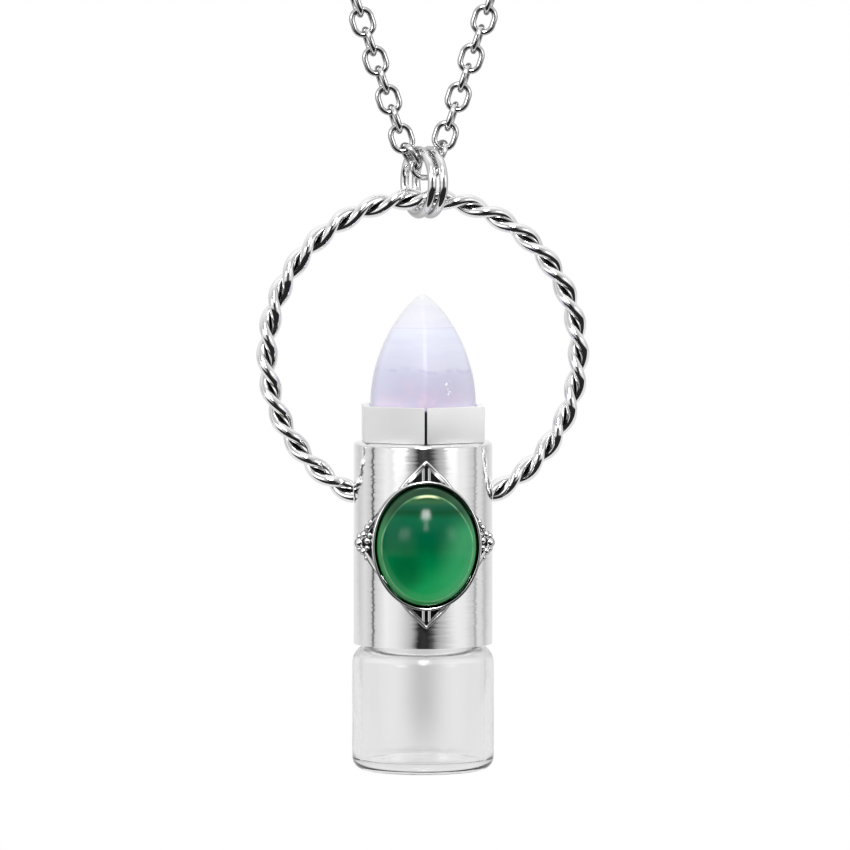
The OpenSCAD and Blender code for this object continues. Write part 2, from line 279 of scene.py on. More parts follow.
def window(middle, half_width, low, high, soft, brightness):
    """A lamp between two heights, as brightness to add."""
    across = 1 - sky.rise((degrees - middle).size(), half_width - soft, half_width + soft)
    from_low = sky.rise(height, low - soft, low + soft)
    to_high = 1 - sky.rise(height, high - soft, high + soft)
    return across * from_low * to_high * brightness


lamps = sum(window(*lamp) for lamp in LAMPS)
lit = sky.mix(1.0, surround, lamps, "ADD")
rays = sky.add("ShaderNodeLightPath", output="Is Camera Ray")
# The photo's own background is plain white.
seen = sky.mix(rays, lit, 1.0)
backing = sky.add("ShaderNodeBackground", None, {0: seen, 1: 1.0})
sky.add("ShaderNodeOutputWorld", None, {0: backing})
print("the surround has", len(HORIZON), "stops at the horizon and", len(LAMPS), "lamps")

# %% [markdown]
# The floor is a pale sheet that begins under the hanging pendant and runs back from it, so that
# the metal reflects the dark room in front over its near edge.

# %% Floor
FLOOR_DROP = 60 * MM
FLOOR_SIZE = 1.2
FLOOR_FRONT = 30 * MM
FLOOR_GLOW = 0.80


def clear_selection():
    if bpy.context.object and bpy.context.object.mode != "OBJECT":
        bpy.ops.object.mode_set(mode="OBJECT")
    bpy.ops.object.select_all(action="DESELECT")


clear_selection()
floor_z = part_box("glass_bottle")[0].z - FLOOR_DROP
bpy.ops.mesh.primitive_plane_add(size=FLOOR_SIZE, location=(0, FLOOR_SIZE / 2 - FLOOR_FRONT, floor_z))
floor = bpy.context.object
floor.name = "floor"
bpy.ops.object.transform_apply(location=True, rotation=True, scale=True)
floor_material, pale = new_material("pale_floor")
floor_rays = pale.add("ShaderNodeLightPath", output="Is Camera Ray")
floor_light = pale.mix(floor_rays, FLOOR_GLOW, 1.0)
floor_glow = pale.add("ShaderNodeEmission", None, {0: floor_light, 1: 1.0})
pale.add("ShaderNodeOutputMaterial", None, {0: floor_glow})
floor.data.materials.append(floor_material)
print("floor at", round(floor_z / MM), "mm")

# %% [markdown]
# These helpers do what a modeller's hand does: pick one object, pick points by their place, draw a
# line from point to point, apply a modifier, and hand the finished piece to its body.

# %% Modelling helpers
TINY = 1e-3 * MM


def pick(*pieces):
    clear_selection()
    for piece in pieces:
        piece.select_set(True)
    bpy.context.view_layer.objects.active = pieces[0]


def edit(piece):
    pick(piece)
    bpy.ops.object.mode_set(mode="EDIT")
    bpy.ops.mesh.select_mode(type="VERT")
    bpy.ops.mesh.select_all(action="SELECT")


def rest():
    bpy.ops.object.mode_set(mode="OBJECT")


def select_points(piece, chosen):
    """Selects the points of a piece in edit mode for which chosen(place) is true."""
    shape = bmesh.from_edit_mesh(piece.data)
    for part in (*shape.faces, *shape.edges, *shape.verts):
        part.select = False
    for point in shape.verts:
        point.select = bool(chosen(point.co))
    shape.select_flush(True)
    bmesh.update_edit_mesh(piece.data)


def mend(piece):
    """Merges doubles and points the faces outwards."""
    edit(piece)
    bpy.ops.mesh.remove_doubles(threshold=TINY)
    bpy.ops.mesh.normals_make_consistent(inside=False)
    rest()


def cut(piece, place, normal, chosen=None, **options):
    """Cuts a piece, or its chosen points, with a plane."""
    edit(piece)
    if chosen:
        select_points(piece, chosen)
    way = Vector(normal).normalized()
    bpy.ops.mesh.bisect(plane_co=place, plane_no=way, threshold=TINY, **options)
    rest()


def modify(piece, kind, **settings):
    """Adds a modifier and applies it."""
    pick(piece)
    modifier = piece.modifiers.new(kind.title(), kind)
    for name, value in settings.items():
        setattr(modifier, name, value)
    bpy.ops.object.modifier_apply(modifier=modifier.name)


def settle(piece):
    """Writes the piece's place, turn and scale into its mesh."""
    pick(piece)
    bpy.ops.object.transform_apply(location=True, rotation=True, scale=True)


def turn(piece, angle, axis):
    """Turns a piece about one of the frame's axes."""
    piece.matrix_world = Matrix.Rotation(angle, 4, axis) @ piece.matrix_world
    settle(piece)


def soften(piece, angle=35):
    pick(piece)
    bpy.ops.object.shade_smooth_by_angle(angle=math.radians(angle))


def join(*pieces):
    pick(*pieces)
    bpy.ops.object.join()
    return bpy.context.object


def draw_line(name, points):
    """One point is drawn out from place to place, as an edge line."""
    clear_selection()
    bpy.ops.mesh.primitive_plane_add(size=MM)
    line = bpy.context.object
    line.name = name
    edit(line)
    bpy.ops.mesh.merge(type="CENTER")
    bpy.ops.transform.translate(value=points[0])
    for start, end in zip(points, points[1:]):
        step = Vector(end) - Vector(start)
        bpy.ops.mesh.extrude_region_move(TRANSFORM_OT_translate={"value": step})
    rest()
    return line


def spin_up(line, steps, centre=(0, 0, 0)):
    """Spins an outline once round an upright axis to a closed skin."""
    edit(line)
    bpy.ops.mesh.spin(steps=steps, angle=2 * math.pi, center=centre, axis=(0, 0, 1))
    rest()
    mend(line)


def arc(middle, radius, start, end, steps):
    """Points of an arc in the XZ plane, its angles in degrees from +X."""
    turns = [math.radians(start + (end - start) * i / steps) for i in range(steps + 1)]
    return [(middle[0] + radius * math.cos(t), 0, middle[1] + radius * math.sin(t)) for t in turns]


def hand_over(piece, name, body, slot_name, *nodes):
    """Names a finished piece, lets it ride on its body and lets it stand for its CAD node."""
    piece.name = name
    piece.data.name = name
    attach(piece, body)
    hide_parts(*nodes)
    print(name, len(piece.data.polygons), "faces")


def paint_with(piece, material):
    piece.data.materials.clear()
    piece.data.materials.append(material)


def dress(node, material, bevel=0):
    """A CAD node keeps its shape and gets a finish, smooth faces and, where asked, softer edges."""
    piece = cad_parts[node]
    paint_with(piece, material)
    count = len(piece.data.polygons)
    piece.data.polygons.foreach_set("material_index", [0] * count)
    piece.data.polygons.foreach_set("use_smooth", [True] * count)
    weld = piece.modifiers.new("weld", "WELD")
    weld.merge_threshold = TINY
    if bevel:
        rounding = piece.modifiers.new("rounding", "BEVEL")
        rounding.width = bevel
        rounding.segments = 3
        rounding.limit_method = "ANGLE"
        rounding.angle_limit = math.radians(35)
    split = piece.modifiers.new("split", "EDGE_SPLIT")
    split.split_angle = math.radians(38)
    print(node, "dressed")


# %% [markdown]
# Bright wire is plated and tumbled, so it is almost a mirror, with small dents that make the
# reflections waver. Where it is seen from the side its colour is painted darker: a painted shade
# that draws the thin dark outline that such wire has on a pale ground.

# %% Polished metal
def polished_metal(name, dents=0.0008, film=0.04, outline=0.8, shine=0.92):
    material, paint = new_material(name)
    spot = paint.place()
    waves = paint.noise(spot, 0.9, 3.0, 0.6)
    fine = paint.noise(spot, 6.0, 2.0, 0.5)
    bumps = paint.bump(waves + fine * 0.15, dents * MM)
    # Painted shade: the colour darkens, by the outline amount, where the surface is seen edge-on.
    facing = paint.add("ShaderNodeLayerWeight", None, {"Blend": 0.5}, output="Facing")
    painted_edge_shade = paint.rise(facing, 0.2, 0.6) * outline
    paint.finish({
        "Base Color": paint.mix(painted_edge_shade, shine, 0.06),
        "Metallic": 1.0,
        "Roughness": 0.06 + fine * film,
        "Normal": bumps,
    })
    return material


wire_metal = polished_metal("polished_wire", dents=0.0003, outline=0.45)
chain_metal = polished_metal("polished_links", outline=0.85, shine=0.85)


def rope_metal(name):
    """The valley between the two strands is painted dark: painted shade where the strands hide each
    other.
    """
    material, paint = new_material(name)
    x, y, z = paint.parts(paint.place(centre=(0, 0, HOOP_Z)))
    off_circle = (x * x + z * z).root() - HOOP_RADIUS / MM
    off_core = (off_circle * off_circle + y * y).root()
    uneven = paint.noise(paint.place(), 1.2, 2.0, 0.5)
    # Painted shade: near the rope's core, between the strands, the colour goes nearly black.
    clear_of_valley_shade = paint.rise(off_core + (uneven - 0.5) * 0.2, 0.22, 0.60)
    paint.finish({
        "Base Color": paint.mix(clear_of_valley_shade, 0.10, 0.93),
        "Metallic": 1.0,
        "Roughness": 0.16 - clear_of_valley_shade * 0.09,
    })
    return material


twisted_metal = rope_metal("twisted_wire")
print("polished metal")

# %% [markdown]
# The chain is an oval cable chain. Its links stand across each other, and the two legs hang in
# straight lines from the wide arc round the neck. One link is modelled from a torus that is pulled
# apart at its middle, and every other one is a copy of it, placed along the loop.

# %% The loop's course
CHAIN_LENGTH = 450 * MM
LEG_ANGLE = math.radians(18.5)
LINK_LENGTH = 3.06 * MM
LINK_WIDTH = 2.42 * MM
LINK_WIRE = 0.46 * MM
# The solids hang 0.1 mm clear of each other; real links touch, so their wire is drawn fuller.
WIRE_FILL = 0.12 * MM
# A link that stands across shows a little of its width.
LINK_SWIVEL = math.radians(80)
LINK_PLAY = 0.1 * MM
CLASP_LENGTH = 9 * MM
CLASP_WIRE = 1.2 * MM
# Three links turn through the jump rings: x and z in millimetres, lean, turn and swivel in degrees.
TURN_LINKS = [
    (-1.2, 4.62, -34, -4, 116),
    (0.25, 3.46, -88, 7, 0),
    (1.52, 4.82, 26, 3, 111),
]
LEFT_START = 6.75 * MM
RIGHT_START = 7.02 * MM
loop_radius = CHAIN_LENGTH / (2 / math.tan(LEG_ANGLE) + math.pi + 2 * LEG_ANGLE)
leg_length = loop_radius / math.tan(LEG_ANGLE)
apex_z = -loop_radius - loop_radius / math.sin(LEG_ANGLE)
link_reach = LINK_LENGTH / 2 - LINK_WIRE
clasp_reach = CLASP_LENGTH / 2 - CLASP_WIRE + link_reach - LINK_PLAY
side_end = CHAIN_LENGTH / 2 - clasp_reach


def loop_place(length):
    """Place and lean of the right side of the loop, at a length from its lowest point."""
    if length < leg_length:
        return length * math.sin(LEG_ANGLE), apex_z + length * math.cos(LEG_ANGLE), LEG_ANGLE
    lean = LEG_ANGLE - (length - leg_length) / loop_radius
    return loop_radius * math.cos(lean), -loop_radius - loop_radius * math.sin(lean), lean


def link_place(x, z, lean, swing_turn, swivel):
    leaning = Matrix.Rotation(swing_turn, 4, "Z") @ Matrix.Rotation(lean, 4, "Y")
    return Matrix.Translation((x, 0, z)) @ leaning @ Matrix.Rotation(swivel, 4, "Z")


def side_places(side, start):
    count = math.ceil((side_end - start) / (2 * link_reach - LINK_PLAY))
    count += 1 - count % 2
    step = (side_end - start) / count
    rows = [loop_place(start + i * step) for i in range(count + 1)]
    swivels = [side * LINK_SWIVEL * (i % 2) for i in range(count + 1)]
    return [
        link_place(side * x, z, side * lean, 0, swivel)
        for (x, z, lean), swivel in zip(rows, swivels)
    ]


turn_places = [
    link_place(x * MM, apex_z + z * MM, *[math.radians(angle) for angle in angles])
    for x, z, *angles in TURN_LINKS
]
print("the loop's lowest point is at", round(apex_z / MM, 2), "mm")

# %% Links
NEAR_Z = apex_z + 45 * MM


def model_link(name, around_count, wire_sides):
    """A torus is pulled apart along its length and stood in the XZ plane."""
    clear_selection()
    bpy.ops.mesh.primitive_torus_add(
        major_segments=around_count,
        minor_segments=wire_sides,
        major_radius=(LINK_WIDTH - LINK_WIRE) / 2,
        minor_radius=(LINK_WIRE + WIRE_FILL) / 2,
        rotation=(0, 0, math.pi / around_count),
    )
    link = bpy.context.object
    link.name = name
    settle(link)
    edit(link)
    half = (LINK_LENGTH - LINK_WIDTH) / 2
    for way in (1, -1):
        select_points(link, lambda co: way * co.y > 0)
        bpy.ops.transform.translate(value=(0, way * half, 0))
    rest()
    turn(link, math.pi / 2, "X")
    bpy.ops.object.shade_smooth()
    return link


fine_link = model_link("fine_link", 32, 12)
plain_link = model_link("plain_link", 16, 6)


def hang_links(name, places, node):
    """Copies a link to each place and joins them."""
    copies = []
    for place in places:
        pattern = fine_link if place.translation.z < NEAR_Z else plain_link
        copy = pattern.copy()
        copy.data = pattern.data.copy()
        copy.matrix_world = place
        bpy.context.scene.collection.objects.link(copy)
        copies.append(copy)
    links = join(*copies)
    settle(links)
    paint_with(links, chain_metal)
    hand_over(links, name, "necklace", "chain_metal", node)


hang_links("chain_left_links", turn_places + side_places(-1, LEFT_START), "chain_left")
hang_links("chain_right_links", side_places(1, RIGHT_START), "chain_right")
for pattern in (fine_link, plain_link):
    bpy.data.objects.remove(pattern)

# %% [markdown]
# The clasp is plain round wire, and its solid already has its shape. The two jump rings stand near
# the camera, so each is modelled again as a finer torus in the same place.

# %% Clasp and jump rings
RING_WIRE = 0.88 * MM
RING_TURN = math.radians(23)
dress("clasp", chain_metal)


def model_ring(node):
    low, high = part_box(node)
    clear_selection()
    bpy.ops.mesh.primitive_torus_add(
        major_segments=96,
        minor_segments=32,
        major_radius=(high.z - low.z - RING_WIRE) / 2,
        minor_radius=RING_WIRE / 2,
        location=(low + high) / 2,
        rotation=(0, math.pi / 2, RING_TURN),
    )
    ring = bpy.context.object
    settle(ring)
    bpy.ops.object.shade_smooth()
    paint_with(ring, wire_metal)
    hand_over(ring, node + "_wire", "necklace", "wire_metal", node)


model_ring("jump_ring_1")
model_ring("jump_ring_2")

# %% [markdown]
# The hoop is two round wires twisted together. Two circles side by side are screwed into a straight
# rope, and the rope is laid along a circle by a curve. Where it meets the sleeve it is cut flat.

# %% Twisted hoop
STRAND_WIRE = 1.1 * MM
STRAND_LAY = 6.55 * MM
STRAND_SIDES = 24
TURN_STEPS = 32
SEAT_GAP = 0.05 * MM
# The rope's ends are cut up to this far beyond the hoop's middle.
END_REACH = HOOP_RADIUS / 9
cut_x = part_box("sleeve")[1].x + SEAT_GAP
rope_turns = math.floor(2 * math.pi * HOOP_RADIUS / STRAND_LAY)
# Across the rope a slanting wire shows a slightly oval section.
slant = math.atan(math.pi * STRAND_WIRE / STRAND_LAY)


def model_rope():
    """Two ovals beside each other are screwed upwards to a straight rope."""
    strands = []
    for side in (-1, 1):
        clear_selection()
        centre = (side * STRAND_WIRE / 2, 0, 0)
        bpy.ops.mesh.primitive_circle_add(vertices=STRAND_SIDES, radius=STRAND_WIRE / 2, location=centre)
        strand = bpy.context.object
        strand.scale.y = 1 / math.cos(slant)
        settle(strand)
        strands.append(strand)
    rope = join(*strands)
    modify(
        rope,
        "SCREW",
        axis="Z",
        angle=-2 * math.pi,
        screw_offset=STRAND_LAY,
        iterations=rope_turns,
        steps=TURN_STEPS,
        render_steps=TURN_STEPS,
    )
    turn(rope, math.pi / 2, "Y")
    return rope


def bend_rope(rope):
    """The rope is laid along a circle, with its middle at the top and its ends cut at the sleeve."""
    clear_selection()
    bpy.ops.curve.primitive_bezier_circle_add(radius=HOOP_RADIUS)
    guide = bpy.context.object
    guide.data.resolution_u = 64
    guide.data.twist_mode = "Z_UP"
    modify(rope, "CURVE", object=guide, deform_axis="POS_X")
    bpy.data.objects.remove(guide)
    middle = sum((point.co for point in rope.data.vertices), Vector()) / len(rope.data.vertices)
    turn(rope, math.pi / 2 - math.atan2(middle.y, middle.x), "Z")
    turn(rope, math.pi / 2, "X")
    for side in (1, -1):
        cut(
            rope,
            (side * cut_x, 0, 0),
            (side, 0, 0),
            lambda co: co.z < 0 and side * co.x > -END_REACH,
            use_fill=True,
            clear_inner=True,
        )


rope = model_rope()
bend_rope(rope)
rope.location.z = HOOP_Z
settle(rope)
mend(rope)
soften(rope, 50)
paint_with(rope, twisted_metal)
hand_over(rope, "twisted_rope", "pendant", "wire_metal", "twisted_hoop")
print(rope_turns, "turns, bent to", round(rope.dimensions.x / MM, 2), "mm")

# %% [markdown]
# The sleeve was turned on a lathe and polished afterwards. The fine rings that the tool left spread
# every reflection up and down, while from side to side the sleeve stays nearly a mirror. Its bore,
# which shows through the bottle's neck, is painted a glowing pale grey: painted light in the dark sleeve.

# %% Sleeve
# In millimetres: nearer the axis than this lies the bore, and further out the skin.
BORE_RADIUS = 6.4


def turned_metal(name):
    """Every ring that the tool left faces a little to one side, so edges in reflections turn to combs."""
    material, paint = new_material(name)
    rings = paint.noise(paint.place(stretch=(0.05, 0.05, 1)), 5.0, 3.0, 0.7)
    reach = paint.noise(paint.place(), 0.12, 2.0, 0.5)
    normal = paint.add("ShaderNodeNewGeometry", output="Normal")
    sideways = paint.vector("CROSS_PRODUCT", normal, (0, 0, 1))
    tilt = (rings - 0.5) * (reach * 0.32)
    tilted = paint.vector("ADD", normal, paint.vector("SCALE", sideways, None, scale=tilt))
    fine = paint.noise(paint.place(stretch=(0.02, 0.02, 1)), 9.0, 4.0, 0.7)
    [under_top] = paint.parts(paint.place(centre=(0, 0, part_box("sleeve")[1].z)), "Z")
    # Painted light: inside the bore the colour is a darker grey that glows.
    in_bore = 1 - paint.rise(paint.reach_from_axis(), BORE_RADIUS - 0.1, BORE_RADIUS + 0.1)
    bore_glow = in_bore * (1 - paint.rise(under_top, -0.4, -0.2))
    paint.finish({
        "Base Color": paint.mix(bore_glow, 0.92, 0.5),
        "Metallic": 1.0,
        "Roughness": 0.08 + reach * 0.06,
        "Anisotropic": 0.8,
        "Anisotropic Rotation": 0.25,
        "Normal": paint.bump(fine, 0.0015 * MM, normal=tilted),
        "Emission Color": paint.mix(bore_glow, 0.0, 0.6),
        "Emission Strength": 1.0,
    })
    return material


sleeve_metal = turned_metal("turned_sleeve")
dress("sleeve", sleeve_metal)

# %% [markdown]
# The collar is bent from sheet, with a corner and its open seam at the front. Its faces are satin,
# so each shows an even grey, with a painted sheen, given as glow, a little lighter towards its side.

# %% Collar
def satin_metal(name):
    material, paint = new_material(name)
    grain = paint.noise(paint.place(stretch=(1, 1, 4)), 7.0, 3.0, 0.6)
    patches = paint.noise(paint.place(), 0.6, 2.0, 0.5)
    [x] = paint.parts(paint.place(), "X")
    # Painted sheen: a glow that grows towards +X and towards both sides.
    painted_sheen = paint.rise(x, -6, 6, 0.0, 0.10) + paint.rise(x.size(), 2, 6.5, 0.0, 0.09)
    paint.finish({
        "Base Color": grey(0.79),
        "Metallic": 1.0,
        "Roughness": 0.7 + patches * 0.1,
        "Emission Color": paint.mix(painted_sheen, 0.0, 1.0),
        "Emission Strength": 1.0,
        "Normal": paint.bump(grain, 0.002 * MM),
    })
    return material


collar_metal = satin_metal("satin_collar")
dress("stone_collar", collar_metal, bevel=0.1 * MM)

# %% [markdown]
# The stone is a bullet with six soft sides, ground and tumbled. A six-sided outline is drawn part of
# the way to a circle, and drawn upwards tier by tier, each tier a little narrower.

# %% Stone point
STONE_RISE = 11.2 * MM
STONE_ROUNDNESS = 0.45
STONE_TIERS = 28
# The smaller this power, the fuller the bullet's sides.
STONE_FULLNESS = 0.8
STONE_HALF = 5.28 * MM
stone_low, stone_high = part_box("stone_point")
shoulder_z = stone_high.z - STONE_RISE
COLLAR_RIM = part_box("stone_collar")[1].z - 0.2 * MM


def model_stone():
    clear_selection()
    bpy.ops.mesh.primitive_circle_add(vertices=6, radius=STONE_HALF / math.cos(math.pi / 6))
    stone = bpy.context.object
    edit(stone)
    bpy.ops.mesh.subdivide(number_cuts=11)
    bpy.ops.transform.tosphere(value=STONE_ROUNDNESS)
    rest()
    least = min(math.hypot(point.co.x, point.co.y) for point in stone.data.vertices)
    stone.scale = (STONE_HALF / least, STONE_HALF / least, 1)
    stone.location.z = stone_low.z
    settle(stone)
    edit(stone)
    rise = shoulder_z - stone_low.z
    bpy.ops.mesh.extrude_region_move(TRANSFORM_OT_translate={"value": (0, 0, rise)})
    width, z = 1.0, shoulder_z
    for tier in range(1, STONE_TIERS):
        share = math.sin(math.pi / 2 * tier / STONE_TIERS)
        next_width = (1 - share * share) ** STONE_FULLNESS
        next_z = shoulder_z + STONE_RISE * share
        bpy.ops.mesh.extrude_region_move(TRANSFORM_OT_translate={"value": (0, 0, next_z - z)})
        scale = next_width / width
        bpy.ops.transform.resize(value=(scale, scale, 1), center_override=(0, 0, next_z))
        width, z = next_width, next_z
    bpy.ops.mesh.extrude_region_move(TRANSFORM_OT_translate={"value": (0, 0, stone_high.z - z)})
    bpy.ops.mesh.merge(type="CENTER")
    select_points(stone, lambda co: co.z < stone_low.z + 0.01 * MM)
    bpy.ops.mesh.edge_face_add()
    rest()
    mend(stone)
    soften(stone, 50)
    return stone


def lilac_stone(name):
    """Milky at the tip, with thin veins across, and lilac clouds towards the collar."""
    material, paint = new_material(name)
    spot = paint.place(centre=(0, 0, shoulder_z))
    x, z = paint.parts(spot, "XZ")
    share = z / (STONE_RISE / MM)
    wander = paint.noise(spot, 0.22, 3.0, 0.55)
    level = share + (wander - 0.5) * 0.2
    body = paint.ramp(level, [
        (0.0, (0.50, 0.45, 0.58)), (0.16, (0.51, 0.48, 0.61)), (0.29, (0.52, 0.51, 0.64)),
        (0.37, (0.61, 0.61, 0.71)), (0.66, (0.66, 0.68, 0.76)), (0.74, (0.66, 0.66, 0.72)),
        (1.0, (0.64, 0.65, 0.66)),
    ])
    layers = paint.noise(paint.place(stretch=(0.12, 0.12, 1)), 1.3, 4.0, 0.6)
    layered = paint.mix(paint.rise(layers, 0.35, 0.7) * 0.22, body, (0.50, 0.50, 0.65))
    # Painted light: the left side is painted bluer, as the faces either side of the front edge catch the
    # light differently.
    left = 1 - paint.rise(x, -4.5, 0.5)
    left_face_light = paint.mix(left * (1 - paint.rise(level, 0.3, 0.7)) * 0.5, layered, (0.53, 0.55, 0.69))
    clouds = paint.noise(paint.place(stretch=(1, 1, 1.6)), 0.45, 4.0, 0.6)
    pink = paint.rise(clouds, 0.46, 0.66) * (1 - paint.rise(level, 0.1, 0.36)) * 0.55
    tinted = paint.mix(pink, left_face_light, (0.62, 0.50, 0.61))
    patchy = paint.rise(paint.noise(paint.place(stretch=(1, 1, 0.3)), 0.9, 2.0, 0.5), 0.42, 0.6)
    vein = (1 - paint.rise((level - 0.33).size(), 0.003, 0.022)) * patchy * 0.45
    thin = (1 - paint.rise((share + (wander - 0.5) * 0.04 - 0.70).size(), 0.001, 0.008)) * 0.25
    # Painted light: towards its sides the stone is painted paler.
    side_light = paint.rise(x.size(), 2.2, 5.0) * 0.35
    side_lit = paint.mix(side_light, tinted, (0.70, 0.70, 0.80))
    veined = paint.mix(vein + thin, side_lit, (0.42, 0.42, 0.62))
    flaw_place = paint.place(centre=(2.25 * MM, -4.2 * MM, stone_high.z - 9.2 * MM), stretch=(2, 1, 1))
    near_flaw = 1 - paint.rise(paint.vector("LENGTH", flaw_place, output="Value"), 0.6, 1.2)
    flaws = paint.rise(paint.noise(spot, 3.2, 2.0, 0.6), 0.56, 0.62) * near_flaw * 0.8
    flawed = paint.mix(flaws, veined, 1.0)
    # Below the collar's rim the stone is painted nearly black: painted shade inside the collar.
    rim_share = (COLLAR_RIM - shoulder_z) / STONE_RISE
    clear_of_collar_shade = paint.rise(share, rim_share - 0.03, rim_share)
    colour = paint.mix(clear_of_collar_shade, (0.01, 0.01, 0.012), flawed)
    paint.finish({
        "Base Color": colour,
        "Roughness": 0.30 + clouds * 0.08,
        # Painted light: the stone glows a little in its own colour.
        "Emission Color": colour,
        "Emission Strength": 0.10,
        "Subsurface Weight": 0.4,
        "Subsurface Scale": 0.8 * MM,
        "Subsurface Radius": (1.0, 0.9, 1.1),
        "Specular IOR Level": 0.25,
        "Normal": paint.bump(clouds, 0.01 * MM),
    })
    return material


stone = model_stone()
paint_with(stone, lilac_stone("lilac_stone"))
hand_over(stone, "bullet_stone", "pendant", "lilac_stone", "stone_point")

# %% [markdown]
# The setting is a thin pointed plate bent round the sleeve. Round wire is soldered on as its edge
# and as bars in its points, small grains sit at its sides, and the oval bezel stands in its middle.
# Everything flat is drawn in front of the sleeve and then pressed back on to it.

# %% Setting: measures and tools
PLATE_HALF = Vector((6.75, 8.5)) * MM
PLATE_SHARES = [(0, 1), (0.28, 0.785), (0.745, 0.32), (1, 0)]
PLATE_THICKNESS = 0.35 * MM
EDGE_WIRE = 0.42 * MM
BAR_WIRE = 0.32 * MM
BEZEL_WALL = 0.3 * MM
BEZEL_HEIGHT = 1.5 * MM
CABOCHON_HALF = Vector((5, 6)) * MM
CABOCHON_GAP = 0.14 * MM
plate_radius = cut_x
crest_radius = plate_radius + PLATE_THICKNESS
setting_low, setting_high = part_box("setting")
setting_z = (setting_low.z + setting_high.z) / 2
DRAWING_Y = -12 * MM
PLATE_INSET = 0.14 * MM


def outline_points(inset):
    """The pointed outline, clockwise from its top, drawn in by an inset."""
    quarter = [Vector((across * PLATE_HALF.x, up_by * PLATE_HALF.y)) for across, up_by in PLATE_SHARES]
    right = quarter + [Vector((p.x, -p.y)) for p in reversed(quarter[:-1])]
    points = right + [Vector((-p.x, p.y)) for p in reversed(right[1:-1])]
    inner = []
    for i, point in enumerate(points):
        before = (point - points[i - 1]).normalized()
        after = (points[(i + 1) % len(points)] - point).normalized()
        bisector = (after - before).normalized()
        inner.append(point + bisector * inset / math.sqrt(max(0.01, (1 - before.dot(-after)) / 2)))
    return inner


def in_front(flat):
    """A point of the flat drawing, in front of the sleeve."""
    return Vector((flat[0], DRAWING_Y, setting_z + flat[1]))


def fine_points(points, closed, step=0.5 * MM):
    """Cuts straight stretches short enough to bend."""
    ends = points[1:] + points[:1] if closed else points[1:]
    fine = []
    for start, end in zip(points, ends):
        count = max(1, math.ceil((end - start).length / step))
        fine += [start.lerp(end, i / count) for i in range(count)]
    return fine if closed else fine + [points[-1]]


def press_on_sleeve(piece, radius):
    """Presses a drawing straight back on to a cylinder about the sleeve's axis."""
    clear_selection()
    bpy.ops.mesh.primitive_cylinder_add(
        vertices=512,
        radius=radius,
        depth=40 * MM,
        location=(0, 0, setting_z),
    )
    former = bpy.context.object
    modify(
        piece,
        "SHRINKWRAP",
        target=former,
        wrap_method="PROJECT",
        use_project_y=True,
        use_positive_direction=True,
        use_negative_direction=False,
    )
    bpy.data.objects.remove(former)


def lay_wire(points, wire, radius, closed=False):
    """A line of the drawing becomes round wire on the sleeve."""
    fine = fine_points(points, closed)
    line = draw_line("wire", [in_front(point) for point in fine])
    if closed:
        edit(line)
        first, last = in_front(fine[0]), in_front(fine[-1])
        near = 1e-2 * MM
        select_points(line, lambda co: (co - first).length < near or (co - last).length < near)
        bpy.ops.mesh.edge_face_add()
        rest()
    press_on_sleeve(line, radius)
    pick(line)
    bpy.ops.object.convert(target="CURVE")
    line = bpy.context.object
    line.data.bevel_depth = wire / 2
    line.data.bevel_resolution = 3
    line.data.use_fill_caps = not closed
    bpy.ops.object.convert(target="MESH")
    line = bpy.context.object
    mend(line)
    soften(line, 50)
    return line


print("setting at", round(setting_z / MM, 2), "mm")

# %% Setting: plate
def model_plate():
    """A fine sheet is trimmed along the outline, pressed round the sleeve and given its thickness."""
    clear_selection()
    bpy.ops.mesh.primitive_grid_add(
        x_subdivisions=40,
        y_subdivisions=50,
        size=1,
        rotation=(math.pi / 2, 0, 0),
    )
    plate = bpy.context.object
    plate.scale = (PLATE_HALF.x * 2.2, PLATE_HALF.y * 2.2, 1)
    plate.location = in_front((0, 0))
    settle(plate)
    points = outline_points(PLATE_INSET)
    for start, end in zip(points, points[1:] + points[:1]):
        along = end - start
        cut(plate, in_front(start), (-along.y, 0, along.x), clear_outer=True)
    press_on_sleeve(plate, plate_radius)
    modify(plate, "SOLIDIFY", thickness=PLATE_THICKNESS, offset=1)
    mend(plate)
    soften(plate, 40)
    return plate


plate = model_plate()
print("plate", len(plate.data.polygons), "faces")

# %% Setting: edge wire, bars and grains
bezel_half = CABOCHON_HALF + Vector((CABOCHON_GAP, CABOCHON_GAP))
BAR_PLACE = 0.3 * MM
# Heights of the wires' middles above the plate.
EDGE_LIFT = 0.12 * MM
BAR_LIFT = 0.1 * MM
bar_top = PLATE_HALF.y - 0.85 * MM
bar_foot = bezel_half.y + BEZEL_WALL - 0.2 * MM
wires = [lay_wire(outline_points(EDGE_WIRE / 2), EDGE_WIRE, crest_radius + EDGE_LIFT, closed=True)]
for way in (1, -1):
    for side in (1, -1):
        top = Vector((side * BAR_PLACE, way * bar_top))
        foot = Vector((side * BAR_PLACE, way * bar_foot))
        spread = Vector((side * (BAR_PLACE + bar_top - bar_foot), way * bar_foot))
        wires.append(lay_wire([foot, top], BAR_WIRE, crest_radius + BAR_LIFT))
        wires.append(lay_wire([top, spread], BAR_WIRE, crest_radius + BAR_LIFT))
# A grain's distance from the middle, its height from the side point and its width, in millimetres.
GRAIN_ROWS = [
    (6.46, -0.02, 1.1), (6.05, 0.84, 0.84), (6.08, -0.82, 0.84), (5.72, 1.56, 0.7), (5.80, -1.46, 0.6),
    (5.74, 0.26, 0.72), (5.76, -0.46, 0.6), (6.5, 0.62, 0.6), (6.5, -0.64, 0.6), (5.42, 2.14, 0.5),
    (5.5, 0.85, 0.6),
]


def lay_grain(across, up_by, width):
    radius = crest_radius + EDGE_LIFT
    centre = (across, -math.sqrt(radius ** 2 - across ** 2), setting_z + up_by)
    clear_selection()
    bpy.ops.mesh.primitive_uv_sphere_add(segments=20, ring_count=12, radius=width / 2, location=centre)
    grain = bpy.context.object
    settle(grain)
    bpy.ops.object.shade_smooth()
    return grain


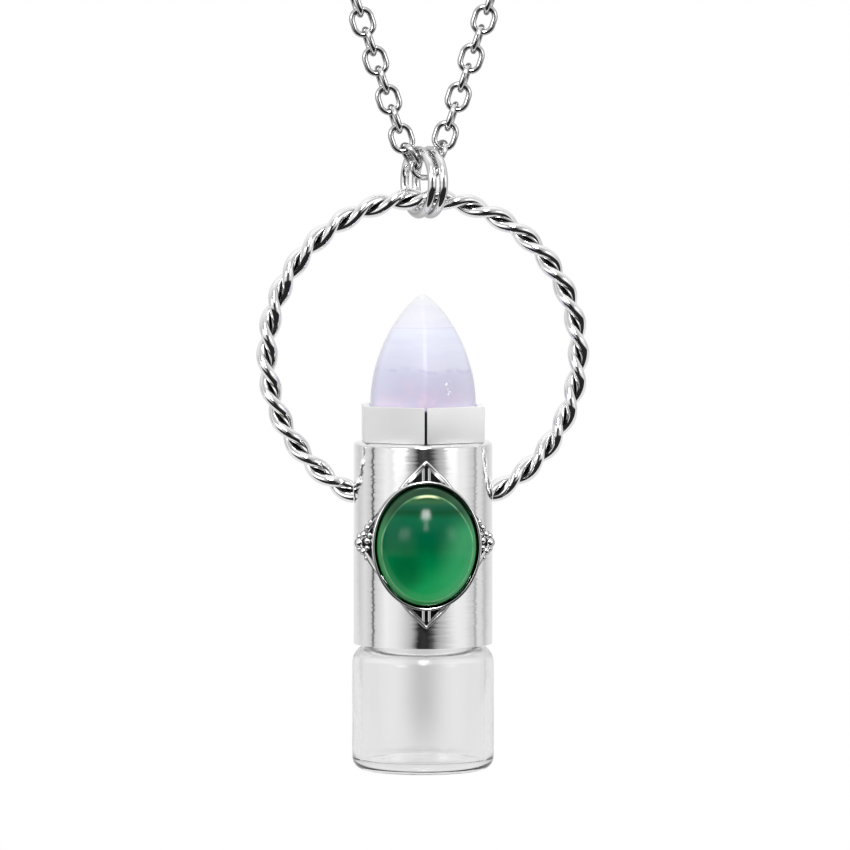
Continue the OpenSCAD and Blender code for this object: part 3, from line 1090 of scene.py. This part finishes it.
grains = []
for side in (1, -1):
    for across, up_by, width in GRAIN_ROWS:
        grains.append(lay_grain(side * across * MM, up_by * MM, width * MM))
print(len(wires), "wires and", len(grains), "grains")

# %% Setting: bezel
def model_bezel():
    """An oval drawn on the plate is drawn forward to a level rim, thickened and rounded."""
    clear_selection()
    bpy.ops.mesh.primitive_circle_add(vertices=96, radius=1, rotation=(math.pi / 2, 0, 0))
    bezel = bpy.context.object
    bezel.scale = (bezel_half.x + BEZEL_WALL / 2, bezel_half.y + BEZEL_WALL / 2, 1)
    bezel.location = in_front((0, 0))
    settle(bezel)
    press_on_sleeve(bezel, plate_radius + PLATE_THICKNESS / 2)
    rim_y = -crest_radius - BEZEL_HEIGHT
    edit(bezel)
    bpy.ops.mesh.extrude_region_move(TRANSFORM_OT_translate={"value": (0, -MM, 0)})
    bpy.ops.transform.resize(value=(1, 0, 1), center_override=(0, rim_y, setting_z))
    rest()
    modify(bezel, "SOLIDIFY", thickness=BEZEL_WALL, offset=0)
    mend(bezel)
    modify(
        bezel,
        "BEVEL",
        width=BEZEL_WALL * 0.4,
        segments=4,
        limit_method="ANGLE",
        angle_limit=math.radians(50),
    )
    mend(bezel)
    soften(bezel, 40)
    return bezel


bezel = model_bezel()


def oxidised_metal(name):
    """The sunk plate is blackened, and wears bright where it is rubbed."""
    material, paint = new_material(name)
    stains = paint.noise(paint.place(), 1.6, 4.0, 0.65)
    worn = paint.rise(stains, 0.56, 0.74)
    paint.finish({
        "Base Color": paint.mix(worn, 0.006, 0.05),
        "Metallic": 0.1,
        "Specular IOR Level": 0.12,
        "Roughness": 0.55 - worn * 0.15,
        "Normal": paint.bump(stains, 0.01 * MM),
    })
    return material


setting_metal = polished_metal("polished_setting", dents=0.006, film=0.1)
paint_with(plate, oxidised_metal("oxidised_recess"))
for piece in (*wires, *grains, bezel):
    paint_with(piece, setting_metal)
setting = join(plate, bezel, *wires, *grains)
hand_over(setting, "pointed_setting", "pendant", "setting_metal", "setting")

# %% [markdown]
# The green stone is a high oval cabochon, polished to a clear gloss. Half of a sphere is stretched
# to its oval, and drawn back for its straight girdle.

# %% Cabochon
CABOCHON_DEPTH = 4.4 * MM
CABOCHON_GIRDLE = 0.9 * MM
cabochon_back = -crest_radius - SEAT_GAP


def model_cabochon():
    clear_selection()
    bpy.ops.mesh.primitive_uv_sphere_add(
        segments=96,
        ring_count=64,
        radius=1,
        rotation=(math.pi / 2, 0, 0),
    )
    dome = bpy.context.object
    settle(dome)
    dome.scale = (CABOCHON_HALF.x, CABOCHON_DEPTH - CABOCHON_GIRDLE, CABOCHON_HALF.y)
    settle(dome)
    cut(dome, (0, 0, 0), (0, 1, 0), clear_outer=True)
    edit(dome)
    select_points(dome, lambda co: co.y > -TINY)
    bpy.ops.mesh.extrude_region_move(TRANSFORM_OT_translate={"value": (0, CABOCHON_GIRDLE, 0)})
    bpy.ops.mesh.edge_face_add()
    rest()
    dome.location = (0, cabochon_back - CABOCHON_GIRDLE, setting_z)
    settle(dome)
    mend(dome)
    soften(dome, 60)
    return dome


def green_stone(name):
    """Teal above and green painted lighter below as painted light, darker where the bezel shades its
    edge.
    """
    material, paint = new_material(name)
    x, z = paint.parts(paint.place(centre=(0, 0, setting_z)), "XZ")
    across = x / (CABOCHON_HALF.x / MM)
    up_share = z / (CABOCHON_HALF.y / MM)
    rim = (across * across + up_share * up_share).root()
    # Painted light: the colour is lighter green towards the bottom, where light gathers in the dome.
    body = paint.ramp(up_share * 0.5 + 0.5, [
        (0.0, (0.02, 0.40, 0.10)), (0.16, (0.01, 0.29, 0.085)), (0.36, (0.0, 0.155, 0.045)),
        (0.50, (0.0, 0.090, 0.03)), (0.60, (0.0, 0.080, 0.034)), (0.74, (0.0, 0.088, 0.036)),
        (0.79, (0.0, 0.048, 0.015)), (0.84, (0.003, 0.065, 0.035)), (0.875, (0.02, 0.09, 0.035)),
        (0.905, (0.01, 0.06, 0.015)), (0.94, (0.0, 0.02, 0.008)), (1.0, (0.0, 0.015, 0.006)),
    ])
    # Light gathers in the lower right of a clear dome and leaves the lower left dark.
    slope = across * 0.8 - up_share * 0.25
    glow = paint.rise(slope, 0.1, 0.6) * (1 - paint.rise(up_share, 0.2, 0.6)) * 0.45
    lit = paint.mix(glow, body, (0.06, 0.42, 0.16))
    shade_place = ((across + 0.42) * (across + 0.42) + (up_share + 0.38) * (up_share + 0.38)).root()
    shade = (1 - paint.rise(shade_place, 0.1, 0.5)) * 0.65
    shaded = paint.mix(shade, lit, (0.0, 0.07, 0.02))
    # Round its edge the dome is painted with a dark outer band and a light line inside it: painted
    # refraction of the girdle under the dome, and a painted reflection of the bezel's rim.
    from_line = rim - paint.rise(up_share, 0.1, 0.6, 0.905, 0.855)
    band = paint.rise(from_line, -0.005, 0.025) * (1 - paint.rise(across, 0.1, 0.6) * 0.4)
    band_green = paint.mix(paint.rise(up_share, 0.1, 0.7), (0.03, 0.20, 0.06), (0.008, 0.04, 0.016))
    banded = paint.mix(band * 0.85, shaded, band_green)
    line = 1 - paint.rise(from_line.size(), 0.004, 0.022)
    # Painted reflection: a yellowish light arc near the top of the dome.
    top_line = 1 - paint.rise((rim - 0.84).size(), 0.006, 0.03)
    near_top = paint.rise(up_share, 0.74, 0.84) * (1 - paint.rise(across.size(), 0.1, 0.3))
    broken = paint.rise(paint.noise(paint.place(), 0.35, 2.0, 0.6), 0.35, 0.65, 0.08, 0.42)
    lined = paint.mix(line * broken, banded, (0.28, 0.55, 0.30))
    arched = paint.mix(top_line * near_top * 0.8, lined, (0.75, 0.80, 0.45))
    # Painted shadow: the outermost rim, in the gap under the bezel, is painted almost black.
    rim_shadow = paint.rise(rim, paint.rise(across, -0.6, 0.6, 0.985, 0.955), 0.99)
    colour = paint.mix(rim_shadow, arched, (0.002, 0.004, 0.002))
    # Painted light: the stone glows in its own colour.
    paint.finish({
        "Base Color": colour,
        "Emission Color": colour,
        "Emission Strength": 0.30,
        "Roughness": 0.07 + paint.noise(paint.place(), 0.5) * 0.06,
        "IOR": 1.35,
        "Specular IOR Level": 0.33,
    })
    return material


cabochon = model_cabochon()
paint_with(cabochon, green_stone("green_cabochon"))
hand_over(cabochon, "oval_cabochon", "pendant", "green_stone", "cabochon")

# %% [markdown]
# The bottle is blown or pressed clear glass. Its wall is drawn as one closed outline, outside and
# inside, and spun round the upright axis. A glass body needs both skins, because light bends at each.

# %% Glass bottle
BOTTLE_HEIGHT = 12.7 * MM
GLASS_WALL = 0.9 * MM
GLASS_FLOOR = 1.1 * MM
SHOULDER = 2.0 * MM
HEEL = 1.3 * MM
NECK_HEIGHT = 9 * MM
NECK_RADIUS = 5.95 * MM
BOTTLE_RADIUS = 7.1 * MM
bottle_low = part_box("glass_bottle")[0]
bottle_top = bottle_low.z + BOTTLE_HEIGHT


def model_bottle():
    shoulder = (BOTTLE_RADIUS - SHOULDER, bottle_top - SHOULDER)
    heel = (BOTTLE_RADIUS - HEEL, bottle_low.z + HEEL)
    inner_heel = (heel[0], bottle_low.z + GLASS_FLOOR + HEEL - GLASS_WALL)
    neck_inner = NECK_RADIUS - GLASS_WALL
    rise = math.degrees(math.acos((NECK_RADIUS - shoulder[0]) / SHOULDER))
    inner_rise = math.degrees(math.acos(max(0, (neck_inner - shoulder[0]) / (SHOULDER - GLASS_WALL))))
    neck_top = bottle_top + NECK_HEIGHT
    outline = [(0, 0, bottle_low.z)]
    outline += arc(heel, HEEL, -90, 0, 12)
    outline += arc(shoulder, SHOULDER, 0, rise, 14)
    outline += [(NECK_RADIUS, 0, neck_top), (neck_inner, 0, neck_top)]
    outline += arc(shoulder, SHOULDER - GLASS_WALL, inner_rise, 0, 10)
    outline += arc(inner_heel, HEEL - GLASS_WALL, 0, -90, 8)
    outline += [(0, 0, bottle_low.z + GLASS_FLOOR)]
    bottle = draw_line("bottle", outline)
    spin_up(bottle, 128)
    soften(bottle, 35)
    return bottle


def clear_glass(name):
    material, paint = new_material(name)
    ripples = paint.noise(paint.place(stretch=(1, 1, 0.5)), 0.3, 2.0, 0.5)
    # Through its middle the bottle is painted a little darker, a painted reflection, and its thick floor
    # is darkened with painted shade.
    x, z = paint.parts(paint.place(centre=(0, 0, bottle_low.z)), "XZ")
    painted_middle_reflection = (1 - paint.rise(x.size(), 0.2, 2.8)) * paint.rise(z, 1, 7)
    painted_floor_shade = (1 - paint.rise(z, 1.1, 1.7)) * (1 - paint.rise(x.size(), 1, 6))
    # The blown shoulder is a little hazy.
    shoulder_haze = paint.rise(z, 10.9, 11.6) * (1 - paint.rise(z, 12.6, 12.8))
    paint.finish({
        "Base Color": paint.mix(painted_middle_reflection + painted_floor_shade, 0.985, 0.86),
        "Roughness": paint.noise(paint.place(), 2.0) * 0.02 + shoulder_haze * 0.22,
        "IOR": 1.28,
        "Transmission Weight": 1.0,
        "Coat Weight": 0.25,
        "Coat IOR": 1.5,
        "Coat Roughness": 0.12,
        "Normal": paint.bump(ripples, 0.02 * MM),
    })
    return material


bottle = model_bottle()
paint_with(bottle, clear_glass("clear_glass"))
hand_over(bottle, "clear_bottle", "bottle", "bottle_glass", "glass_bottle")
